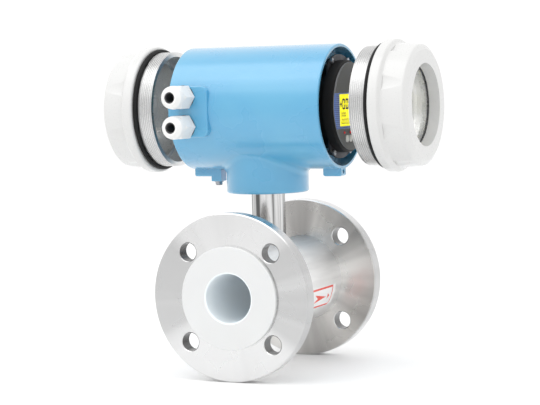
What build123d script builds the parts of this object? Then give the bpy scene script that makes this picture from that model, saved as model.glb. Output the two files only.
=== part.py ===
# Magnetic flow meter: a flanged, lined flow tube with a two-chamber converter on a neck pipe.
# The pipe runs along +Y, which is the direction of flow. The converter lies along X with its
# display end at +X, and +Z is up. The origin is the centre of the bore, halfway along it.
# Both screw covers stand unscrewed, pulled out along the converter's axis.
# All sizes are in millimetres.
from build123d import *
import math
import os

os.makedirs("parts", exist_ok=True)

# Clearances
slip = 0.05                     # radial gap of a pushed, welded or threaded fit
running = 0.1                   # gap of a seal that turns or slides in its seat
clear = 0.3                     # gap between pieces that only pass each other

# Flow tube and liner
face_to_face = 200.0
bore_radius = 24.0
liner_wall = 3.2
lip_thickness = 3.0
lip_radius = 50.5
lip_round = 1.2
bore_mouth_round = 1.5
tube_wall = 2.9
liner_radius = bore_radius + liner_wall
tube_bore = liner_radius + slip
tube_radius = tube_bore + tube_wall

# Flanges
flange_radius = 82.5
flange_thickness = 15.5
flange_chamfer = 1.0
raised_face_radius = 51.5
raised_face_height = 1.0
bolt_circle_radius = 62.5
bolt_hole_radius = 9.0
bolt_hole_chamfer = 0.8
bolt_count = 4
end_y = face_to_face / 2
seat_y = end_y - lip_thickness
rim_y = seat_y - raised_face_height
flange_back_y = rim_y - flange_thickness

# Coil shell
shell_radius = 44.45
shell_wall = 2.5
shell_lead_hole = 9.0
shell_bore = shell_radius - shell_wall

# Coils, pole shoes and return yoke
coil_length = 84.0
coil_width = 52.0
coil_band = 13.0
coil_corner = 10.0
yoke_gap = 3.0
yoke_wall = 2.0
yoke_length = 90.0
yoke_hole = 9.0
yoke_outer = shell_bore - yoke_gap
yoke_inner = yoke_outer - yoke_wall
coil_outer = yoke_inner - clear
coil_inner = tube_radius + clear

# Electrodes
electrode_radius = 3.0
electrode_collar_radius = 5.5
electrode_collar = 1.5
electrode_shank_radius = 2.0
bush_wall = 2.5
bush_height = 2.0
nut_flats = 7.0
nut_height = 3.0
electrode_stub = 0.6
bush_radius = electrode_radius + slip + bush_wall
bush_top = tube_radius + bush_height
collar_top = bush_top + electrode_collar
nut_top = collar_top + nut_height
electrode_top = nut_top + electrode_stub

# Flow label, a thin plate on the shell
label_thickness = 0.25
label_length = 70.0
label_end_y = 65.0
label_top_angle = -4.5
label_bottom_angle = -33.5

# Converter housing
axis_z = 181.5
housing_radius = 62.0
housing_wall = 4.5
housing_left = -79.0
housing_right = 83.0
housing_edge_round = 1.2
mouth_wall = 3.0
mouth_depth = 18.0
partition_thickness = 5.0
wire_hole_radius = 5.0
wire_hole_drop = 34.0
cavity_radius = housing_radius - housing_wall
mouth_radius = housing_radius - mouth_wall

# Boss and neck pipe
boss_radius = 41.5
boss_bottom = 96.5
boss_floor = 6.0
boss_core_radius = 30.0
boss_blend = 7.0
boss_edge_round = 2.0
boss_core_gap = 1.0
neck_radius = 16.85
neck_wall = 2.6
neck_nut_flats = 46.0
neck_nut_height = 8.0
neck_stub = 1.0
partition_right = -boss_core_radius - boss_core_gap
partition_left = partition_right - partition_thickness
neck_top = boss_bottom + boss_floor + neck_nut_height + neck_stub

# Gland pad
pad_stand = 2.0
pad_left = -77.0
pad_right = -34.5
pad_half_height = 25.5
pad_drop = 1.5
pad_corner = 7.0
pad_round = 1.5
pad_z = axis_z - pad_drop
pad_face_y = -(housing_radius + pad_stand)

# Cable glands
gland_x = -60.0
gland_spacing = 29.5
gland_thread_radius = 9.9
gland_flats = 22.5
gland_bore = 6.5
gasket_thickness = 1.0
gasket_radius = 11.6
gland_hex_height = 5.0
gland_neck_radius = 9.0
gland_neck_length = 10.0
gland_gap = 0.5
nut_length = 24.0
nut_hex_length = 13.0
nut_hex_bevel = 0.9
nut_bevel_length = 3.25
nut_shoulder_radius = 10.9
nut_shoulder_length = 7.15
nut_nose_radius = 7.6
nut_mouth_radius = 5.6
nut_lip = 1.1
nut_nose_stand = 0.35
nut_bottom_gap = 1.0
seal_hole = 4.5
seal_length = 16.0

# Lugs under the housing
lug_length = 19.5
lug_width = 12.0
lug_bottom = 112.3
lug_round = 2.0
lock_screw_z = 117.0
lock_screw_radius = 2.2
lock_screw_length = 10.0
lock_screw_recess = 1.0
ground_boss_left = -60.5
ground_boss_right = -49.5
ground_boss_bottom = 107.3
ground_boss_width = 12.0
ground_thread_radius = 2.5
ground_thread_length = 8.0
ground_head_radius = 3.6
ground_head_height = 3.2
ground_washer_radius = 4.6
ground_washer_thickness = 0.9

# Screw covers, measured outwards from the spigot's mouth
thread_clearance = 0.5
spigot_wall = 4.5
spigot_length = 15.3
oring_section = 4.5
oring_seat_depth = 1.0
cover_flange_stand = 2.8
cover_flange_flat = 10.0
cover_flange_slope = 3.0
cover_round = 2.5
cover_body_inset = 1.5
cover_body_length = 24.5
cover_front_drop = 1.5
cover_crest_width = 7.0
cover_crest_drop = 3.5
cover_step_depth = 23.0
cover_step_height = 3.0
cover_step_slope = 1.0
cover_end_wall = 6.5
grip_count = 8
grip_depth = 1.5
grip_cutter_radius = 30.0
thread_pitch = 2.0
display_cover_turns = 23
terminal_cover_turns = 18
seated_gap = 0.05
spigot_radius = mouth_radius - thread_clearance
spigot_bore = spigot_radius - spigot_wall
oring_seat_radius = spigot_radius - oring_seat_depth
cover_flange_radius = housing_radius + cover_flange_stand
cover_body_radius = housing_radius - cover_body_inset
cover_front_radius = cover_body_radius - cover_front_drop
cover_crest_radius = cover_body_radius - cover_crest_width
cover_cavity_radius = spigot_bore - cover_step_height
flange_face = spigot_length + oring_section + 2 * running
body_start = flange_face + cover_flange_flat + cover_flange_slope
front = body_start + cover_body_length
oring_front = spigot_length + running
display_mouth_x = housing_right + seated_gap - oring_front + thread_pitch * display_cover_turns
terminal_mouth_x = housing_left - seated_gap + oring_front - thread_pitch * terminal_cover_turns

# Window in the display cover
window_radius = 39.4
window_recess = 9.0
window_flare = 1.0
window_lip = 2.0
window_seat_radius = 43.7
glass_thickness = 5.0
gasket_wall = 1.0
ring_height = 5.0
ring_bore = 39.0
lip_back = front - window_recess - window_lip
glass_front = lip_back - gasket_wall
glass_back = glass_front - glass_thickness
ring_back = glass_back - ring_height

# Display bracket and its pillars
bracket_x = 79.0
bracket_thickness = 2.0
bracket_half_width = 28.0
bracket_end_gap = 2.5
pillar_y = 20.0
pillar_inset = 6.5
pillar_radius = 2.4
shelf_thickness = 8.0
shelf_margin = 3.0
bracket_screw_radius = 1.5
bracket_screw_grip = 4.0
bracket_head_radius = 2.7
bracket_head_height = 1.8
bracket_slot_width = 0.8
bracket_radius = spigot_bore - bracket_end_gap
pillar_z = bracket_radius - pillar_inset
shelf_edge = pillar_z - shelf_margin
shelf_x = housing_right - mouth_depth - shelf_thickness
shelf_front = shelf_x + shelf_thickness
bracket_front = bracket_x + bracket_thickness

# Display case, front panel and display
case_side_gap = 8.5
case_depth = 10.5
case_wall = 2.0
case_chamfer = 2.0
panel_inset = 2.2
panel_thickness = 1.5
bezel_inset = 0.3
bezel_top = 13.5
bezel_bottom = -21.5
bezel_thickness = 0.6
lcd_half_width = 30.0
lcd_top = 12.0
lcd_bottom = -19.0
lcd_corner = 0.4
board_thickness = 1.6
display_board_gap = 1.5
case_gap = 1.0
led_radius = 1.3
led_y = (-20.0, -5.0)
led_z = -25.5
case_radius = spigot_bore - case_side_gap
panel_radius = case_radius - panel_inset
bezel_radius = panel_radius - bezel_inset
panel_back = bracket_front + case_depth
panel_front = panel_back + panel_thickness

# Push buttons
button_count = 4
button_pitch = 9.0
button_width = 5.5
button_height = 7.0
button_corner = 2.7
button_z = -31.5
button_stand = 1.0
button_flange = 1.0
button_travel = 1.0
button_lip = 0.8
switch_width = 4.5
switch_corner = 0.4
button_row = [(i - (button_count - 1) / 2) * button_pitch for i in range(button_count)]

# Electronics behind the bracket
can_gap = 16.5
can_wall = 2.0
can_length = 54.0
board_edge_gap = 3.0
main_board_gap = 9.4
board_spacing = 24.0
standoff_radius = 2.5
standoff_inset = 5.0
board_screw_height = 2.0
transformer_height = 20.0
transformer_width = 32.0
transformer_depth = 28.0
can_radius = cavity_radius - can_gap
board_radius = can_radius - can_wall - board_edge_gap
standoff_circle = board_radius - standoff_inset
can_back = bracket_x - can_length
main_board_x = bracket_x - main_board_gap - board_thickness
power_board_x = main_board_x - board_spacing - board_thickness

# Terminal chamber
terminal_board_width = 80.0
terminal_board_height = 56.0
terminal_standoff = 6.0
terminal_standoff_inset = 5.0
terminal_block_width = 60.0
terminal_block_height = 14.0
terminal_block_depth = 13.0
terminal_block_drop = 12.0
terminal_count = 8
terminal_screw_radius = 2.1
terminal_screw_depth = 3.0
terminal_screw_sink = 0.6
terminal_slot_width = 0.6
terminal_slot_depth = 0.8
terminal_board_x = partition_left - terminal_standoff - board_thickness

# Sensor cable in the neck
cable_radius = 3.5
plug_width = 14.0
plug_depth = 10.0
plug_height = 11.0


def save(name, shape):
    """Write one piece, or one group of like fasteners, to its own file."""
    export_step(shape, f"parts/{name}.step")


def section(points, rounds=None):
    """A closed half section from (along, radius) points, with some corners rounded."""
    face = make_face(Polyline(*points, close=True))
    for (along, radius), size in (rounds or {}).items():
        corner = face.vertices().sort_by_distance(Vector(along, radius, 0))[0]
        face = fillet(corner, size)
    return face


def turned_x(points, rounds=None):
    """A solid turned about the X axis."""
    return revolve(Plane.XZ * section(points, rounds), Axis.X)


def turned_y(points, rounds=None):
    """A solid turned about the pipe's axis."""
    return revolve(Plane.YZ * section(points, rounds), Axis.Y)


def rod_x(radius, x_from, x_to, y=0.0, z=0.0):
    """A round bar along X."""
    middle = Pos((x_from + x_to) / 2, y, z)
    return middle * Rot(0, 90, 0) * Cylinder(radius, abs(x_to - x_from))


def rod_y(radius, y_from, y_to, x=0.0, z=0.0):
    """A round bar along Y."""
    middle = Pos(x, (y_from + y_to) / 2, z)
    return middle * Rot(90, 0, 0) * Cylinder(radius, abs(y_to - y_from))


def rod_z(radius, z_from, z_to, x=0.0, y=0.0):
    """A round bar along Z."""
    return Pos(x, y, (z_from + z_to) / 2) * Cylinder(radius, abs(z_to - z_from))


def block(x_from, x_to, y_from, y_to, z_from, z_to):
    """A box between two corners."""
    middle = Pos((x_from + x_to) / 2, (y_from + y_to) / 2, (z_from + z_to) / 2)
    return middle * Box(abs(x_to - x_from), abs(y_to - y_from), abs(z_to - z_from))


def hexagon(flats):
    """A hexagon by its width across flats."""
    return RegularPolygon(flats / 2, 6, major_radius=False)


def circles(shape, radius):
    """The round edges of one radius."""
    edges = shape.edges().filter_by(GeomType.CIRCLE)
    return edges.filter_by(lambda edge: abs(edge.radius - radius) < 0.001)


def on_axis(shape):
    """Lift a piece made about the X axis to the converter's axis."""
    return Pos(0, 0, axis_z) * shape


# Flanges: welded on the tube's ends, with a raised face that backs the liner's lip
def flange():
    hub = tube_radius + slip
    c = flange_chamfer
    points = [
        (-seat_y, hub),
        (-seat_y, raised_face_radius),
        (-rim_y, raised_face_radius),
        (-rim_y, flange_radius - c),
        (-rim_y + c, flange_radius),
        (-flange_back_y - c, flange_radius),
        (-flange_back_y, flange_radius - c),
        (-flange_back_y, hub),
    ]
    body = turned_y(points)
    for i in range(bolt_count):
        angle = math.radians(360 / bolt_count * (i + 0.5))
        x = bolt_circle_radius * math.cos(angle)
        z = bolt_circle_radius * math.sin(angle)
        body -= rod_y(bolt_hole_radius, -seat_y, -flange_back_y + 1, x, z)
    return chamfer(circles(body, bolt_hole_radius), bolt_hole_chamfer)


inlet_flange = flange()
save("inlet_flange", inlet_flange)
save("outlet_flange", mirror(inlet_flange, about=Plane.XZ))

# Measuring tube and its liner, with a hole each side for an electrode
tube = turned_y([
    (-seat_y, tube_bore),
    (-seat_y, tube_radius),
    (seat_y, tube_radius),
    (seat_y, tube_bore),
])
tube -= rod_x(bush_radius + slip, -shell_radius, shell_radius)
save("measuring_tube", tube)

liner = turned_y([
    (-end_y, bore_radius),
    (-end_y, lip_radius),
    (-seat_y, lip_radius),
    (-seat_y, liner_radius),
    (seat_y, liner_radius),
    (seat_y, lip_radius),
    (end_y, lip_radius),
    (end_y, bore_radius),
], {
    (-end_y, lip_radius): lip_round,
    (end_y, lip_radius): lip_round,
    (-end_y, bore_radius): bore_mouth_round,
    (end_y, bore_radius): bore_mouth_round,
})
liner -= rod_x(electrode_radius + slip, -shell_radius, shell_radius)
save("ptfe_liner", liner)

# Coil shell: a plain tube between the flanges, open at the top under the neck pipe
shell = turned_y([
    (-flange_back_y, shell_bore),
    (-flange_back_y, shell_radius),
    (flange_back_y, shell_radius),
    (flange_back_y, shell_bore),
])
shell -= rod_z(shell_lead_hole, 0, shell_radius + 1)
save("coil_shell", shell)


# Coils, pole shoes and yoke: the field runs up through the tube
def wrapped(outline, inner, outer):
    """A flat outline pushed down onto the tube and cut to a curved layer."""
    layer = turned_y([
        (-end_y, inner),
        (-end_y, outer),
        (end_y, outer),
        (end_y, inner),
    ])
    return extrude(outline, outer + 1) & layer


coil_outline = RectangleRounded(coil_width, coil_length, coil_corner)
window_width = coil_width - 2 * coil_band
window_length = coil_length - 2 * coil_band
coil_window = RectangleRounded(window_width, window_length, coil_corner / 2)
shoe_outline = RectangleRounded(
    window_width - 2 * clear, window_length - 2 * clear, coil_corner / 2 - clear)
upper_coil = wrapped(coil_outline - coil_window, coil_inner, coil_outer)
upper_shoe = wrapped(shoe_outline, tube_radius + slip, yoke_inner - slip)
save("upper_coil", upper_coil)
save("lower_coil", mirror(upper_coil, about=Plane.XY))
save("upper_pole_shoe", upper_shoe)
save("lower_pole_shoe", mirror(upper_shoe, about=Plane.XY))

yoke = turned_y([
    (-yoke_length / 2, yoke_inner),
    (-yoke_length / 2, yoke_outer),
    (yoke_length / 2, yoke_outer),
    (yoke_length / 2, yoke_inner),
])
yoke -= rod_x(yoke_hole, -shell_radius, shell_radius)
yoke -= rod_z(cable_radius + clear, 0, shell_radius)
save("return_yoke", yoke)

# Electrodes: each is flush with the bore, sealed by a bush and held by a nut
bore_space = rod_y(bore_radius, -end_y, end_y)
tube_inside = rod_y(tube_bore, -end_y, end_y)
right_electrode = rod_x(electrode_radius, 0, bush_top)
right_electrode += rod_x(electrode_collar_radius, bush_top, collar_top)
right_electrode += rod_x(electrode_shank_radius, collar_top, electrode_top)
right_electrode -= bore_space
right_bush = rod_x(bush_radius, 0, bush_top) - rod_x(electrode_radius + slip, 0, bush_top)
right_bush -= tube_inside
nut_plane = Plane(origin=(collar_top, 0, 0), x_dir=(0, 1, 0), z_dir=(1, 0, 0))
right_nut = extrude(nut_plane * (hexagon(nut_flats) - Circle(electrode_shank_radius + slip)), nut_height)
save("right_electrode", right_electrode)
save("left_electrode", mirror(right_electrode, about=Plane.YZ))
save("right_electrode_bush", right_bush)
save("left_electrode_bush", mirror(right_bush, about=Plane.YZ))
save("electrode_nuts", Compound([right_nut, mirror(right_nut, about=Plane.YZ)]))

# Flow label: a thin curved plate on the shell's display side
label = turned_y([
    (label_end_y - label_length, shell_radius),
    (label_end_y - label_length, shell_radius + label_thickness),
    (label_end_y, shell_radius + label_thickness),
    (label_end_y, shell_radius),
])
label_reach = 2 * shell_radius


def wedge(angle_from, angle_to):
    """A long wedge about the pipe's axis between two angles from +X."""
    corners = [(0, 0)]
    for angle in (angle_from, (angle_from + angle_to) / 2, angle_to):
        turn = math.radians(angle)
        corners.append((label_reach * math.cos(turn), label_reach * math.sin(turn)))
    face = Plane.XZ * make_face(Polyline(*corners, close=True))
    return extrude(face, end_y, both=True)


save("flow_label", label & wedge(label_bottom_angle, label_top_angle))

# Neck pipe: coped on the shell, it passes the boss's floor and is held there by a nut
neck = rod_z(neck_radius, 0, neck_top) - rod_z(neck_radius - neck_wall, 0, neck_top)
neck -= rod_y(shell_radius + slip, -end_y, end_y)
neck = neck.solids().sort_by(Axis.Z)[-1]
save("neck_pipe", neck)

neck_nut = extrude(hexagon(neck_nut_flats) - Circle(neck_radius + slip), neck_nut_height)
save("neck_nut", Pos(0, 0, boss_bottom + boss_floor) * neck_nut)


# Converter housing: one casting with a chamber at each end and a boss for the neck
def lug(x_end, x_inner):
    """A small lug under one end of the housing."""
    half = lug_width / 2
    body = block(x_end, x_inner, -half, half, lug_bottom, axis_z)
    low = body.faces().sort_by(Axis.Z)[0]
    return fillet(low.edges(), lug_round)


def gland_seats():
    """The heights of the two cable glands."""
    return {"upper": pad_z + gland_spacing / 2, "lower": pad_z - gland_spacing / 2}


housing = on_axis(rod_x(housing_radius, housing_left, housing_right))
housing += rod_z(boss_radius, boss_bottom, axis_z)
seam = housing.edges().filter_by(lambda edge: edge.geom_type not in (GeomType.CIRCLE, GeomType.LINE))
housing = fillet(seam, boss_blend)
housing = fillet(circles(housing, boss_radius), boss_edge_round)
housing = fillet(circles(housing, housing_radius), housing_edge_round)

pad = block(pad_left, pad_right, pad_face_y, 0, pad_z - pad_half_height, pad_z + pad_half_height)
pad = fillet(pad.edges().filter_by(Axis.Y), pad_corner)
pad = fillet(pad.faces().sort_by(Axis.Y)[0].edges(), pad_round)
housing += pad

housing += lug(housing_left, housing_left + lug_length)
housing += lug(housing_right, housing_right - lug_length)
ground_half = ground_boss_width / 2
ground_boss = block(ground_boss_left, ground_boss_right, -ground_half, ground_half,
                    ground_boss_bottom, axis_z)
ground_boss = fillet(ground_boss.faces().sort_by(Axis.Z)[0].edges(), lug_round / 2)
housing += ground_boss

terminal_chamber = rod_x(cavity_radius, housing_left, partition_left)
terminal_chamber += rod_x(mouth_radius, housing_left, housing_left + mouth_depth)
display_chamber = rod_x(cavity_radius, partition_right, housing_right)
display_chamber += rod_x(mouth_radius, housing_right - mouth_depth, housing_right)
shelf = block(shelf_x, shelf_front, -bracket_half_width, bracket_half_width,
              shelf_edge, housing_radius)
display_chamber -= shelf
display_chamber -= mirror(shelf, about=Plane.XY)
housing -= on_axis(terminal_chamber)
housing -= on_axis(display_chamber)
housing -= rod_z(boss_core_radius, boss_bottom + boss_floor, axis_z)
housing -= rod_z(neck_radius + slip, boss_bottom, axis_z)
housing -= rod_x(wire_hole_radius, partition_left, partition_right, 0, axis_z - wire_hole_drop)
for height in gland_seats().values():
    housing -= rod_y(gland_thread_radius + slip, pad_face_y, 0, gland_x, height)
screw_depth = lock_screw_recess + lock_screw_length
for end, inwards in ((housing_left, 1), (housing_right, -1)):
    housing -= rod_x(lock_screw_radius + slip, end, end + inwards * screw_depth, 0, lock_screw_z)
ground_x = (ground_boss_left + ground_boss_right) / 2
housing -= rod_z(ground_thread_radius + slip, ground_boss_bottom,
                 ground_boss_bottom + ground_thread_length, ground_x)
for y in (-pillar_y, pillar_y):
    for z in (-pillar_z, pillar_z):
        housing -= rod_x(bracket_screw_radius + slip, shelf_x, shelf_front, y, axis_z + z)
save("converter_housing", housing.solids().sort_by(SortBy.VOLUME)[-1])

# Ground screw and its washer under the housing
washer_bottom = ground_boss_bottom - ground_washer_thickness
washer = rod_z(ground_washer_radius, washer_bottom, ground_boss_bottom, ground_x)
washer -= rod_z(ground_thread_radius + slip, washer_bottom, ground_boss_bottom, ground_x)
save("ground_washer", washer)

ground_head = rod_z(ground_head_radius, washer_bottom - ground_head_height, washer_bottom, ground_x)
ground_head = fillet(ground_head.edges().sort_by(Axis.Z)[0], ground_head_height / 3)
ground_screw = ground_head + rod_z(
    ground_thread_radius, washer_bottom, ground_boss_bottom + ground_thread_length, ground_x)
slot_width = ground_head_radius / 4
slot_bottom = washer_bottom - ground_head_height
ground_screw -= block(ground_x - slot_width / 2, ground_x + slot_width / 2,
                      -ground_head_radius, ground_head_radius,
                      slot_bottom, slot_bottom + ground_head_height / 3)
save("ground_screw", ground_screw)


# Grub screws in the two lugs lock the covers
def lock_screw(x_end, inwards):
    outer_end = x_end + inwards * lock_screw_recess
    inner_end = outer_end + inwards * lock_screw_length
    socket_end = outer_end + inwards * lock_screw_radius
    screw = rod_x(lock_screw_radius, outer_end, inner_end, 0, lock_screw_z)
    socket_plane = Plane(origin=(outer_end, 0, lock_screw_z), x_dir=(0, 1, 0), z_dir=(inwards, 0, 0))
    socket = extrude(socket_plane * hexagon(lock_screw_radius), abs(socket_end - outer_end))
    return screw - socket


save("cover_lock_screws", Compound([lock_screw(housing_left, 1), lock_screw(housing_right, -1)]))


# Cable glands: a body screwed into the pad, a rubber seal and a domed nut that squeezes it
gasket_front = pad_face_y - gasket_thickness
hex_front = gasket_front - gland_hex_height
nut_back = hex_front - gland_gap
nut_front = nut_back - nut_length
neck_front = hex_front - gland_neck_length
body_end = -(spigot_radius + 2 * clear)


def hex_y(flats, y_from, y_to, x, z):
    """A hexagonal bar along Y with a corner at each side."""
    plane = Plane(origin=(x, y_from, z), x_dir=(1, 0, 0), z_dir=(0, -1, 0))
    return extrude(plane * hexagon(flats), abs(y_to - y_from))


def gland_body(z):
    body = hex_y(gland_flats, gasket_front, hex_front, gland_x, z)
    body += rod_y(gland_thread_radius, body_end, gasket_front, gland_x, z)
    body += rod_y(gland_neck_radius, hex_front, neck_front, gland_x, z)
    return body - rod_y(gland_bore, body_end, neck_front, gland_x, z)


def gland_gasket(z):
    ring = rod_y(gasket_radius, gasket_front, pad_face_y, gland_x, z)
    return ring - rod_y(gland_thread_radius + slip, gasket_front, pad_face_y, gland_x, z)


def gland_nut(z):
    nut_bore = gland_bore + slip
    corner_radius = gland_flats / math.sqrt(3)
    dome = turned_y([
        (-nut_length, nut_mouth_radius),
        (-nut_length, nut_nose_radius),
        (-nut_hex_length - nut_shoulder_length, nut_shoulder_radius),
        (-nut_hex_length, corner_radius - nut_hex_bevel),
        (-nut_hex_length + nut_bevel_length, corner_radius),
        (0, corner_radius),
        (0, nut_bore),
        (nut_lip - nut_length, nut_bore),
        (nut_lip - nut_length, nut_mouth_radius),
    ])
    nut = Pos(gland_x, nut_back, z) * dome
    grip = hex_y(gland_flats, nut_back, nut_back - nut_hex_length, gland_x, z)
    nose_radius = gland_flats / 2 + nut_nose_stand
    nose = rod_y(nose_radius, nut_back - nut_hex_length, nut_front, gland_x, z)
    nut &= grip + nose
    bore_end = neck_front - nut_bottom_gap
    return nut - rod_y(gland_neck_radius + clear, nut_back, bore_end, gland_x, z)


def gland_seal(z):
    outer = nut_front + nut_lip + running
    seal = rod_y(gland_bore - running, outer, outer + seal_length, gland_x, z)
    return seal - rod_y(seal_hole, outer, outer + seal_length, gland_x, z)


for place, height in gland_seats().items():
    save(f"{place}_gland_body", gland_body(height))
    save(f"{place}_gland_nut", gland_nut(height))
    save(f"{place}_gland_seal", gland_seal(height))
save("gland_gaskets", Compound([gland_gasket(height) for height in gland_seats().values()]))


# Screw covers: a turned spigot, a round flange and a cast body with grips round it
def cover(window):
    flat_end = flange_face + cover_flange_flat
    outer = [
        (0, spigot_bore),
        (0, spigot_radius),
        (spigot_length, spigot_radius),
        (spigot_length, oring_seat_radius),
        (flange_face, oring_seat_radius),
        (flange_face, cover_flange_radius),
        (flat_end, cover_flange_radius),
        (body_start, cover_body_radius),
        (front - cover_crest_drop, cover_front_radius),
        (front, cover_crest_radius),
    ]
    if window:
        inner = [
            (front, window_radius + window_flare),
            (front - window_recess, window_radius),
            (lip_back, window_radius),
            (lip_back, window_seat_radius),
            (ring_back, window_seat_radius),
            (ring_back, cover_cavity_radius),
        ]
    else:
        inner = [
            (front, 0),
            (front - cover_end_wall, 0),
            (front - cover_end_wall, cover_cavity_radius),
        ]
    inner += [
        (cover_step_depth, cover_cavity_radius),
        (cover_step_depth - cover_step_slope, spigot_bore),
    ]
    rounds = {
        (flange_face, cover_flange_radius): cover_round,
        (flat_end, cover_flange_radius): cover_round,
        (body_start, cover_body_radius): cover_round,
        (front - cover_crest_drop, cover_front_radius): cover_round,
        (front, cover_crest_radius): cover_round,
    }
    body = turned_x(outer + inner, rounds)
    reach = cover_body_radius + grip_cutter_radius - grip_depth
    for i in range(grip_count):
        angle = math.radians(360 / grip_count * (i + 0.5))
        y = reach * math.cos(angle)
        z = reach * math.sin(angle)
        body -= rod_x(grip_cutter_radius, body_start, front + 1, y, z)
    return body


def oring():
    """The ring that seals a cover, in its seat behind the spigot."""
    middle = oring_front + oring_section / 2
    ring_radius = oring_seat_radius + running + oring_section / 2
    return Pos(middle, 0, 0) * Rot(0, 90, 0) * Torus(ring_radius, oring_section / 2)


def washer_x(outer, inner, x_from, x_to):
    """A flat ring about the X axis."""
    return rod_x(outer, x_from, x_to) - rod_x(inner, x_from, x_to)


display_side = Pos(display_mouth_x, 0, axis_z)
terminal_side = Pos(terminal_mouth_x, 0, axis_z) * Rot(0, 0, 180)
save("terminal_cover", terminal_side * cover(False))
save("terminal_cover_oring", terminal_side * oring())
save("display_cover", display_side * cover(True))
save("display_cover_oring", display_side * oring())

glass_radius = window_seat_radius - clear
window_gasket = washer_x(glass_radius, window_radius, glass_front, lip_back)
window_glass = rod_x(glass_radius, glass_back, glass_front)
window_ring = washer_x(window_seat_radius - slip, ring_bore, ring_back, glass_back)
save("window_gasket", display_side * window_gasket)
save("window_glass", display_side * window_glass)
save("window_ring", display_side * window_ring)

# Display bracket: a flat strap across the mouth, on four pillars from the housing's shelves
strap = block(bracket_x, bracket_front, -bracket_half_width, bracket_half_width,
              -bracket_radius, bracket_radius)
strap &= rod_x(bracket_radius, bracket_x, bracket_front)
pillars = []
bracket_screws = []
for y in (-pillar_y, pillar_y):
    for z in (-pillar_z, pillar_z):
        strap -= rod_x(bracket_screw_radius + slip, bracket_x, bracket_front, y, z)
        pillar = rod_x(pillar_radius, shelf_front, bracket_x, y, z)
        pillars.append(pillar - rod_x(bracket_screw_radius + slip, shelf_front, bracket_x, y, z))
        head_front = bracket_front + bracket_head_height
        head = rod_x(bracket_head_radius, bracket_front, head_front, y, z)
        slot = block(head_front - bracket_head_height / 2, head_front,
                     y - bracket_head_radius, y + bracket_head_radius,
                     z - bracket_slot_width / 2, z + bracket_slot_width / 2)
        shank_end = shelf_front - bracket_screw_grip
        shank = rod_x(bracket_screw_radius, shank_end, bracket_front, y, z)
        bracket_screws.append(head - slot + shank)
save("display_bracket", on_axis(strap))
save("bracket_pillars", on_axis(Compound(pillars)))
save("bracket_screws", on_axis(Compound(bracket_screws)))

# Display case: a round black cup on the bracket
case_inner = case_radius - case_wall
case = turned_x([
    (bracket_front, 0),
    (bracket_front, case_radius),
    (panel_back - case_chamfer, case_radius),
    (panel_back, case_radius - case_chamfer),
    (panel_back, case_inner - case_chamfer),
    (panel_back - case_chamfer, case_inner),
    (bracket_front + case_wall, case_inner),
    (bracket_front + case_wall, 0),
])
save("display_case", on_axis(case))

# Front panel with its openings for the display, the buttons and the indicator lamps
panel = rod_x(panel_radius, panel_back, panel_front)


def plate(width, height, y, z, x_from, x_to, corner):
    """A flat plate that faces +X, with rounded corners."""
    plane = Plane(origin=(x_from, 0, 0), x_dir=(0, 1, 0), z_dir=(1, 0, 0))
    return extrude(plane * Pos(y, z) * RectangleRounded(width, height, corner), x_to - x_from)


lcd_middle = (lcd_top + lcd_bottom) / 2
lcd_width = 2 * lcd_half_width
lcd_height = lcd_top - lcd_bottom
lcd_opening = plate(lcd_width + 2 * clear, lcd_height + 2 * clear, 0, lcd_middle,
                    panel_back, panel_front, lcd_corner + clear)
panel -= lcd_opening
bezel = block(panel_front - bezel_thickness, panel_front, -bezel_radius, bezel_radius,
              bezel_bottom, bezel_top)
bezel &= rod_x(bezel_radius, panel_front - bezel_thickness, panel_front)
panel -= block(panel_front - bezel_thickness, panel_front, -panel_radius, panel_radius,
               bezel_bottom - slip, bezel_top + slip)
bezel -= lcd_opening
for y in button_row:
    panel -= plate(button_width + 2 * clear, button_height + 2 * clear, y, button_z,
                   panel_back, panel_front, button_corner)
for y in led_y:
    panel -= rod_x(led_radius + slip, panel_back, panel_front, y, led_z)
save("front_panel", on_axis(panel))
save("display_bezel", on_axis(bezel))

# Liquid crystal panel, display board, switches and lamps
board_front = bracket_front + case_wall + display_board_gap + board_thickness
lcd_front = panel_front - bezel_thickness
lcd_back = board_front
lcd = plate(lcd_width, lcd_height, 0, lcd_middle, lcd_back, lcd_front, lcd_corner)
save("lcd_panel", on_axis(lcd))

display_board_back = board_front - board_thickness
display_board = rod_x(case_inner - case_gap, display_board_back, board_front)
standoffs = []
for y in (-standoff_circle, standoff_circle):
    standoffs.append(rod_x(standoff_radius, bracket_front + case_wall, display_board_back, y, 0))

flange_front = panel_back - clear
flange_back = flange_front - button_flange
switch_front = flange_back - button_travel - running
for i, y in enumerate(button_row):
    button = plate(button_width, button_height, y, button_z,
                   flange_front, panel_front + button_stand, button_corner)
    button += plate(button_width + 2 * button_lip, button_height + 2 * button_lip, y, button_z,
                    flange_back, flange_front, button_corner)
    save(f"button_{i + 1}", on_axis(button))
    display_board += plate(switch_width, switch_width, y, button_z,
                           board_front, switch_front, switch_corner)
save("display_board", on_axis(display_board))

lamps = []
for y in led_y:
    lamp = rod_x(led_radius, board_front, panel_front, y, led_z)
    lamps.append(lamp + Pos(panel_front, y, led_z) * Sphere(led_radius))
save("indicator_lamps", on_axis(Compound(lamps)))

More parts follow.
